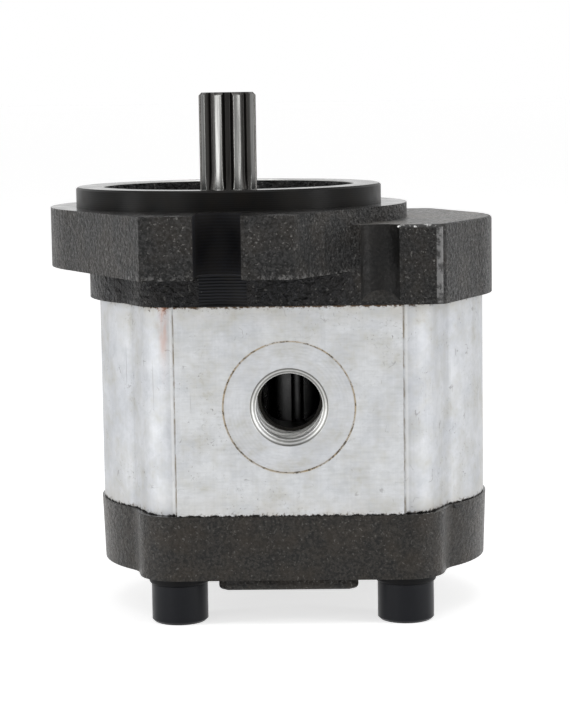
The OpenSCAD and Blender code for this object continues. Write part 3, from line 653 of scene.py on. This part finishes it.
def piece(name, shape, finishes, body="housing", nodes=()):
    """Makes a finished piece of a bmesh, riding on a body and standing for CAD nodes."""
    smooth_shading(shape)
    mesh = bpy.data.meshes.new(name)
    shape.to_mesh(mesh)
    shape.free()
    for finish in finishes:
        mesh.materials.append(FINISHES[finish])
    made = bpy.data.objects.new(name, mesh)
    bpy.context.scene.collection.objects.link(made)
    made.modifiers.new("even_normals", "WEIGHTED_NORMAL").keep_sharp = True
    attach(made, body)
    if nodes:
        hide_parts(*nodes)
    return made


def front_casting():
    joint = COVER_LOW[2] / MM
    finishes = [
        "cast", "cast_top_painted_light", "scoop", "scoop_foot", "coarse_cast", "turned_face", "turned_pilot", "milled",
        "milled_foot", "worn_edge", "boss_edge", "boss_ridge", "bright_rim"]

    def in_scoop(at):
        return SCOOP_FROM_X < at.x < SCOOP_TO_X and BOSS_FACE_Y - 3 < abs(at.y) < BOSS_FACE_Y - 0.1

    def finish(at, normal):
        radius = math.hypot(at.x, at.y)
        if at.z > -0.2 and radius > RECESS_R:
            if normal.z < 0.5 and normal.x * at.x + normal.y * at.y < 0:
                return "coarse_cast"
            return "turned_pilot" if normal.z < 0.9 and at.z > 0.1 else "turned_face"
        if at.z < joint + 0.05:
            return "turned_face"
        if abs(at.x) < SLOT_HALF_W and abs(at.y) > SLOT_INNER_Y:
            return "milled"
        from_slot = math.hypot(at.x, abs(at.y) - SLOT_CENTRE_Y)
        if at.z < EAR_BACK_Z and abs(from_slot - SLOT_SPOTFACE_R) < 0.4:
            return "milled_foot"
        # in the hollow scoop: painted shade on its walls and painted light on its upward foot
        if in_scoop(at) and (normal.z > 0.3 or at.z < BOSS_TOP_Z):
            return "scoop_foot" if at.z < SCOOP_FOOT_Z and normal.z > 0.3 else "scoop"
        # the boss's rounded upright edge gets a lighter band, a painted highlight
        if RIDGE_FROM_X < at.x < RIDGE_TO_X and abs(at.y) > BOSS_FACE_Y - 2.5 and abs(normal.z) < 0.3:
            return "boss_ridge"
        if at.z < EAR_BACK_Z - 0.2 and at.x < SCOOP_FROM_X + 1 or radius < RECESS_R + 0.6:
            return "coarse_cast"
        # upward faces get the lighter top skin, which paints light on them
        return "cast_top_painted_light" if normal.z > 0.9 else "cast"

    shape = from_node("front_cover", finishes, finish)

    def outer(at):
        return joint + 0.1 < at.z < -0.1 and math.hypot(at.x, at.y) > RECESS_R + 2.1

    def boss_top(at):
        above = at.z > BOSS_TOP_Z - 1 and abs(at.y) > BOSS_FACE_Y - 0.5
        return outer(at) and above and BOSS_FROM_X < at.x < BOSS_FROM_X + 12

    def boss_rim(at):
        return outer(at) and at.x > BOSS_FROM_X + 9 and at.z > BOSS_TOP_Z - 1 and not boss_top(at)

    def scoop_side(at):
        return outer(at) and SCOOP_FROM_X - 1 < at.x < SCOOP_TO_X and not boss_top(at)

    def slot_edge(at):
        return outer(at) and abs(at.x) < SLOT_HALF_W + 1.8 and abs(at.y) > SLOT_INNER_Y

    def ear_edge(at):
        return outer(at) and not any(kind(at) for kind in (boss_top, boss_rim, slot_edge, scoop_side))

    def machined(at):
        return not outer(at) and (at.z > -0.6 or at.z < joint + 0.1)

    def pilot_rim(at):
        return at.z > 4 and math.hypot(at.x, at.y) < PILOT_R - 3

    bright, cast = finishes.index("boss_edge"), finishes.index("cast")
    round_edges(
        shape, 0.8, 35, lambda at: boss_top(at) or boss_rim(at), segments=4, finish=bright, clamp=False)
    for face in shape.faces:
        if face.material_index == bright and not boss_top(face.calc_center_median() / MM):
            face.material_index = cast
    round_edges(shape, 0.4, 35, scoop_side)
    round_edges(shape, 0.3, 35, slot_edge, segments=1)
    round_edges(shape, 0.6, 35, ear_edge, finish=finishes.index("worn_edge"))
    round_edges(shape, 0.3, 35, pilot_rim, segments=1, finish=finishes.index("bright_rim"))
    round_edges(shape, 0.15, 35, machined, segments=1)
    return piece("front_casting", shape, finishes, nodes=["front_cover"])


def past_gear_axes(x):
    """How far x lies past the stretch between the two gear axes, in mm."""
    return max(abs(x - MIDDLE_X) - MIDDLE_X, 0)


def rear_casting():
    low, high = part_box("rear_cover")
    top, bottom = high[2] / MM, low[2] / MM
    pad_top = bottom + REAR_PAD_H
    finishes = ["cast_rear", "turned_face"]

    def finish(at, normal):
        return "turned_face" if at.z > top - 0.05 else "cast_rear"

    def creases(edge):
        a, b = (v.co for v in edge.verts)
        upright = abs(a.z - b.z) > 5 * MM and math.hypot(a.x - b.x, a.y - b.y) < 0.01 * MM
        return upright and len(edge.link_faces) == 2 and not edge.is_convex

    shape = from_node("rear_cover", finishes, finish)
    hollow = [edge for edge in shape.edges if creases(edge) and edge.calc_face_angle() > math.radians(15)]
    bmesh.ops.bevel(
        shape, geom=hollow, offset=2.2 * MM, offset_type="OFFSET", segments=6, profile=0.5,
        affect="EDGES", clamp_overlap=True, material=-1)
    round_edges(shape, 1.4, 35, lambda at: at.z < bottom + 0.05, segments=4)
    round_edges(shape, 0.7, 35, lambda at: pad_top + 0.05 < at.z < top - 0.1, segments=3)
    round_edges(shape, 0.15, 35, lambda at: at.z >= top - 0.1, segments=1)
    draft, most_draft, wall_from = math.tan(math.radians(2)), 0.6, 34
    for vert in shape.verts:
        x, y, z = (c / MM for c in vert.co)
        reach = math.hypot(past_gear_axes(x), y)
        if z > pad_top - 0.81 and reach > wall_from:
            pull = min((top - z) * draft, most_draft) / reach
            vert.co.x -= math.copysign(past_gear_axes(x), x - MIDDLE_X) * pull * MM
            vert.co.y -= y * pull * MM
    return piece("rear_casting", shape, finishes, nodes=["rear_cover"])


def cut_thread(shape, port):
    """Turns the smooth wall of a port into a helical thread."""
    centre = Vector(port["pos_m"])
    crest = port["dims"]["r_mm"] * MM
    half = port["dims"]["length_mm"] * MM / 2
    pitch, depth, plain_mouth, rings = 1.588 * MM, 0.85 * MM, 3.4 * MM, 60
    walls = []
    for edge in shape.edges:
        a, b = (v.co - centre for v in edge.verts)
        on_wall = all(abs(math.hypot(p.x, p.z) - crest) < 0.02 * MM for p in (a, b))
        if on_wall and abs(abs(a.y - b.y) - 2 * half) < 1 * MM:
            walls.append(edge)
    made = bmesh.ops.subdivide_edges(shape, edges=walls, cuts=rings, use_grid_fill=True)
    for item in made["geom_inner"]:
        if isinstance(item, bmesh.types.BMVert):
            at = item.co - centre
            radius = math.hypot(at.x, at.z)
            if abs(radius - crest) > 0.05 * MM:
                continue
            turn = math.atan2(at.z, at.x) / math.tau
            phase = (at.y / pitch + turn) % 1
            groove = 1 - abs(2 * phase - 1)
            from_mouth = half - at.y * math.copysign(1, centre.y)
            fade = min(1, (half - abs(at.y)) / (0.6 * pitch), (from_mouth - plain_mouth) / pitch)
            flank = min(1, max(0, groove * 1.25 - 0.12))
            grow = 1 + depth * flank * max(0, fade) / radius
            item.co = centre + Vector((at.x * grow, at.y, at.z * grow))


def body_extrusion():
    face_y = BODY_HIGH[1] / MM
    ends = (BODY_LOW[2] / MM, BODY_HIGH[2] / MM)
    finishes = ["extruded", "milled_pad", "faced", "bored", "deep_bore", "chamber", "scribed"]
    mouth_w, thread_end, chamber_r, port_area_r = 1.8, 6.8, 20.5, 20

    def from_port(at, port):
        return math.hypot(at.x - port["pos_m"][0] / MM, at.z - port["pos_m"][2] / MM)

    def finish(at, normal):
        if min(abs(at.z - ends[0]), abs(at.z - ends[1])) < 0.02:
            return "faced"
        for port in PORTS:
            port_y, radius, away = port["pos_m"][1] / MM, port["dims"]["r_mm"], from_port(at, port)
            if at.y * port_y < 0 or abs(at.y) < 20:
                continue
            # deeper in the port the wall takes a near-black finish: painted shade
            if away < radius + 0.3 and abs(at.y) < abs(port_y) - thread_end:
                return "deep_bore"
            if abs(normal.y) < 0.95 and away < radius + mouth_w:
                return "bored"
            outermost = abs(at.y) > face_y - 2 * SPOTFACE_DEPTH
            if abs(normal.y) < 0.5 and 16 < away < port_area_r and outermost:
                return "scribed"
            on_spotface = abs(abs(at.y) - face_y + SPOTFACE_DEPTH) < 0.05
            if abs(normal.y) > 0.95 and away < port_area_r and on_spotface:
                return "faced"
        if abs(at.y) > face_y - 0.05:
            return "milled_pad"
        # round the gears inside the body, a near-black finish: painted shade
        if math.hypot(past_gear_axes(at.x), at.y) < chamber_r:
            return "chamber"
        return "extruded"

    def outer_edge(at):
        near_port = any(abs(at.y) > 15 and from_port(at, port) < port_area_r for port in PORTS)
        return not near_port and abs(at.y) > 25 or abs(at.x - MIDDLE_X) > 50

    shape = from_node("pump_body", finishes, finish)
    round_edges(shape, 0.25, 35, outer_edge)
    for port in PORTS:
        cut_thread(shape, port)
    return piece("body_extrusion", shape, finishes, nodes=["pump_body"])


def spline_outline(degrees, retreat=0.0):
    """Radius of the spline at an angle, where the cutter has retreated from its full depth."""
    pitch = 360 / SPLINE_TEETH
    from_tooth = abs((degrees - SPLINE_TURN + pitch / 2) % pitch - pitch / 2)
    base_r = SPLINE_PITCH_R * math.cos(SPLINE_PRESSURE)
    root_fillet, tip_fillet, halvings = 2.4, 0.09, 24

    def half_tooth(radius):
        lean = math.acos(base_r / radius)
        grown = math.tan(SPLINE_PRESSURE) - SPLINE_PRESSURE - math.tan(lean) + lean
        return pitch / 4 - SPLINE_PLAY + math.degrees(grown)

    low, high = base_r, SPLINE_TIP_R + 1.5
    for _ in range(halvings):
        middle = (low + high) / 2
        low, high = (middle, high) if half_tooth(middle) > from_tooth else (low, middle)
    if from_tooth > half_tooth(base_r):
        into_space = min(1, (from_tooth - half_tooth(base_r)) / root_fillet)
        low = base_r - (base_r - SPLINE_ROOT_R) * math.sin(into_space * math.pi / 2)
    gap = low + retreat - SPLINE_TIP_R
    return SPLINE_TIP_R + min(gap, 0) - max(tip_fillet - abs(gap), 0) ** 2 / (4 * tip_fillet)


def splined_end(shape, finish):
    """Shaft end above the seal: shoulder, tooth spaces that run out towards it, and a lathe centre."""
    start, shoulder, full_depth, bevel_from = 0.6, 1.8, 8.8, SHAFT_END - 0.8
    journal_r, shoulder_r, steps_per_tooth = 9.0, 8.2, 48
    centre_r, centre_drill_r, run_out = 2.4, 1.25, 1.2
    everything = shape.verts[:] + shape.edges[:] + shape.faces[:]
    cut = bmesh.ops.bisect_plane(
        shape, geom=everything, plane_co=(0, 0, start * MM), plane_no=(0, 0, 1), clear_outer=True)
    rim = [item for item in cut["geom_cut"] if isinstance(item, bmesh.types.BMEdge)]
    steps = SPLINE_TEETH * steps_per_tooth
    made = bmesh.ops.create_circle(shape, cap_ends=False, segments=steps, radius=journal_r * MM)
    bmesh.ops.translate(shape, verts=made["verts"], vec=(0, 0, (start + 0.05) * MM))
    loop = list({edge for vert in made["verts"] for edge in vert.link_edges})
    bmesh.ops.bridge_loops(shape, edges=rim + loop)

    def teeth(z):
        retreat = run_out * (max(full_depth - z, 0) / (full_depth - shoulder)) ** 2
        bevel = SPLINE_TIP_R - max(z - bevel_from, 0)
        return lambda degrees: min(spline_outline(degrees, retreat), bevel)

    heights = [shoulder, 2.6, 3.4, 4.2, 5.0, 5.8, 6.6, 7.4, 8.1, full_depth]
    heights += [bevel_from, SHAFT_END - 0.4, SHAFT_END]
    rings = [(1.0, lambda degrees: journal_r), (shoulder, lambda degrees: shoulder_r)]
    rings += [(z, teeth(z)) for z in heights]
    rings += [
        (SHAFT_END, lambda degrees: centre_r), (SHAFT_END - 2.0, lambda degrees: centre_drill_r),
        (SHAFT_END - 4.5, lambda degrees: centre_drill_r)]
    for z, radius in rings:
        grown = bmesh.ops.extrude_edge_only(shape, edges=loop)["geom"]
        fresh = {item for item in grown if isinstance(item, bmesh.types.BMVert)}
        edges = [item for item in grown if isinstance(item, bmesh.types.BMEdge)]
        loop = [edge for edge in edges if set(edge.verts) <= fresh]
        for item in grown:
            if isinstance(item, bmesh.types.BMFace):
                item.material_index = finish
        for vert in fresh:
            turn = math.atan2(vert.co.y, vert.co.x)
            reach = radius(math.degrees(turn)) * MM
            vert.co = (reach * math.cos(turn), reach * math.sin(turn), z * MM)
    bmesh.ops.contextual_create(shape, geom=loop, mat_nr=finish)
    bmesh.ops.recalc_face_normals(shape, faces=shape.faces)


def shafts():
    def finish(at, normal):
        return "gear" if at.z < SHAFT_PAINTED_SHADE_BELOW_Z else "shaft"

    finishes = ["shaft", "gear", "spline"]
    shape = from_node("drive_gear_shaft", finishes, finish)
    splined_end(shape, finishes.index("spline"))
    piece("drive_shaft", shape, finishes, "drive_rotor", ["drive_gear_shaft"])
    shape = from_node("idler_gear_shaft")
    piece("idler_shaft", shape, ["gear"], "idler_rotor", ["idler_gear_shaft"])


def fasteners():
    head_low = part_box("cover_screws")[0][2] / MM
    shape = from_node("cover_screws")
    round_edges(shape, 1.7, 40, lambda at: at.z < head_low + 0.3, segments=5)
    piece("socket_screws", shape, ["screw"], nodes=["cover_screws"])
    shape = from_node("screw_washers")
    round_edges(shape, 0.6, 40, segments=3)
    piece("plain_washers", shape, ["washer"], nodes=["screw_washers"])


def inner_parts():
    """CAD nodes whose shape is right: they keep it and only get their finish."""
    for node, finish in {
        "front_bearing_block": "block", "rear_bearing_block": "block",
        "front_drive_bush": "bronze", "front_idler_bush": "bronze",
        "rear_drive_bush": "bronze", "rear_idler_bush": "bronze",
        "shaft_seal_case": "plated", "shaft_seal_lip": "rubber",
        "seal_garter_spring": "spring", "seal_snap_ring": "spring",
        "front_body_seal": "rubber", "rear_body_seal": "rubber",
        "front_pressure_seal": "rubber", "rear_pressure_seal": "rubber",
        "front_backup_strip": "strip", "rear_backup_strip": "strip",
        "front_dowel_pins": "plated", "rear_dowel_pins": "plated",
    }.items():
        materials = frame["nodes"][node].data.materials
        materials.clear()
        materials.append(FINISHES[finish])


# ---------------------------------------------------------------- studio

FLOOR_R = 40  # in metres, so that its rim is out of sight
ROOM_LIGHT = 0.3  # of the white that the background shows
PAPER_LIFT = 0.68  # glow that takes the pale floor up to white where it is seen


def seen_directly(tree):
    """1 for rays from the camera and for those that metal or glass sends on, else 0."""
    path = tree.nodes.new("ShaderNodeLightPath")
    total = path.outputs["Is Camera Ray"]
    for kind in ("Is Glossy Ray", "Is Transmission Ray"):
        node = tree.nodes.new("ShaderNodeMath")
        node.operation = "MAXIMUM"
        tree.links.new(total, node.inputs[0])
        tree.links.new(path.outputs[kind], node.inputs[1])
        total = node.outputs["Value"]
    return total


def soft_box(name, place, aim, width, height, watts):
    data = bpy.data.lights.new(name, "AREA")
    data.shape = "RECTANGLE"
    data.size, data.size_y = width, height
    data.energy = watts
    lamp = bpy.data.objects.new(name, data)
    bpy.context.scene.collection.objects.link(lamp)
    lamp.location = place
    lamp.rotation_euler = (Vector(aim) - Vector(place)).to_track_quat("-Z", "Y").to_euler()


def studio():
    world = bpy.data.worlds.new("studio_world")
    bpy.context.scene.world = world
    world.use_nodes = True
    tree = world.node_tree
    sky = tree.nodes["Background"]
    sky.inputs["Color"].default_value = (1, 1, 1, 1)
    level = tree.nodes.new("ShaderNodeMapRange")
    tree.links.new(seen_directly(tree), level.inputs["Value"])
    level.inputs["To Min"].default_value = ROOM_LIGHT
    level.inputs["To Max"].default_value = 1
    tree.links.new(level.outputs["Result"], sky.inputs["Strength"])

    floor_shape = bmesh.new()
    bmesh.ops.create_circle(floor_shape, cap_ends=True, segments=96, radius=FLOOR_R)
    bmesh.ops.translate(floor_shape, verts=floor_shape.verts, vec=(MIDDLE_X * MM, 0, cad_box[0][2]))
    mesh = bpy.data.meshes.new("studio_floor")
    floor_shape.to_mesh(mesh)
    floor_shape.free()
    floor = bpy.data.objects.new("studio_floor", mesh)
    bpy.context.scene.collection.objects.link(floor)
    paper = Finish("floor_paper", Roughness=0.9, Base_Color=(0.8, 0.8, 0.8, 1))
    lift = paper.times(seen_directly(paper.tree), PAPER_LIFT)
    paper.shader.inputs["Emission Color"].default_value = (1, 1, 1, 1)
    mesh.materials.append(paper.done(Emission_Strength=lift))

    middle, spline_height = (MIDDLE_X * MM, 0, -0.04), (0, 0, 0.02)
    soft_box("left_box", (-1.1, -0.35, 0.3), middle, width=0.12, height=1.1, watts=6)
    soft_box("right_box", (1.1, -0.35, 0.3), middle, width=0.12, height=1.1, watts=5.5)
    soft_box("left_card", (-0.73, -0.89, 0.02), spline_height, width=0.4, height=0.3, watts=1.9)
    soft_box("right_card", (0.87, -0.76, 0.02), spline_height, width=0.18, height=0.3, watts=0.85)
    soft_box("top_box", (0.0, -0.1, 1.1), middle, width=0.9, height=0.9, watts=3)
    bpy.context.scene.view_settings.view_transform = "Standard"


aim_camera()
front_casting()
rear_casting()
body_extrusion()
shafts()
fasteners()
inner_parts()
studio()
